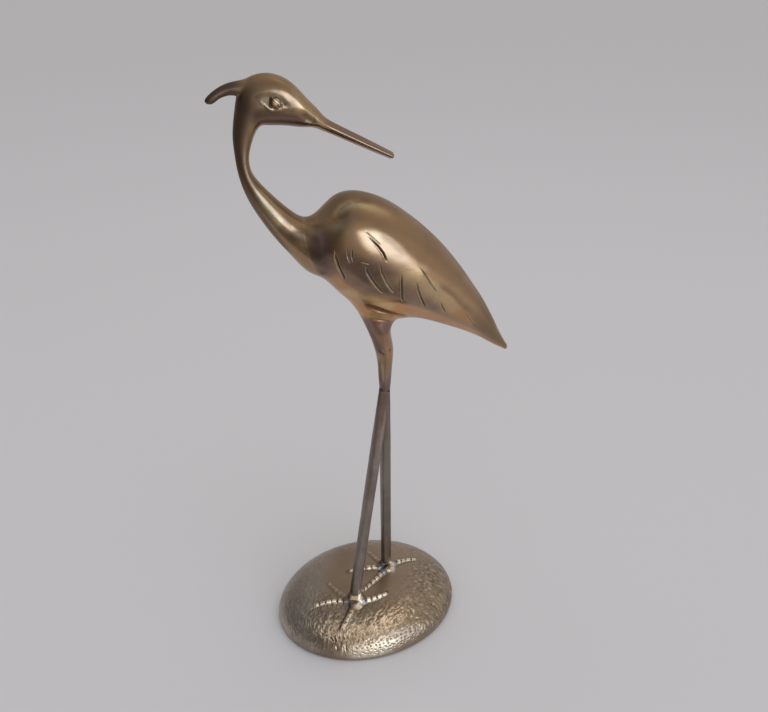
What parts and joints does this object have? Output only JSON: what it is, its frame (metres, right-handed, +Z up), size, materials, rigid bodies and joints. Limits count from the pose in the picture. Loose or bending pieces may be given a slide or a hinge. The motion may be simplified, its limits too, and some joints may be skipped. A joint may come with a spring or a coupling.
{
  "type": "brass heron figurine",
  "caption": "Cast brass wading bird with a crest and a back-turned bill, standing on slim rod legs over an oval domed base with toed feet in relief.",
  "frame": {"origin": "middle of the base's flat underside", "axes": "+Z up, breast toward -X, tail toward +X, the bird's left side toward -Y"},
  "size_m": [0.1406, 0.0852, 0.3034],
  "materials": {
    "bird_brass": "polished and lightly tarnished",
    "leg_patina": "dark brown patina",
    "base_brass": "brown patina, worn bright on the high points"
  },
  "bodies": {
    "root": {"bird": "bird_brass", "left_leg": "leg_patina", "right_leg": "leg_patina", "base": "base_brass"}
  },
  "joints": []
}
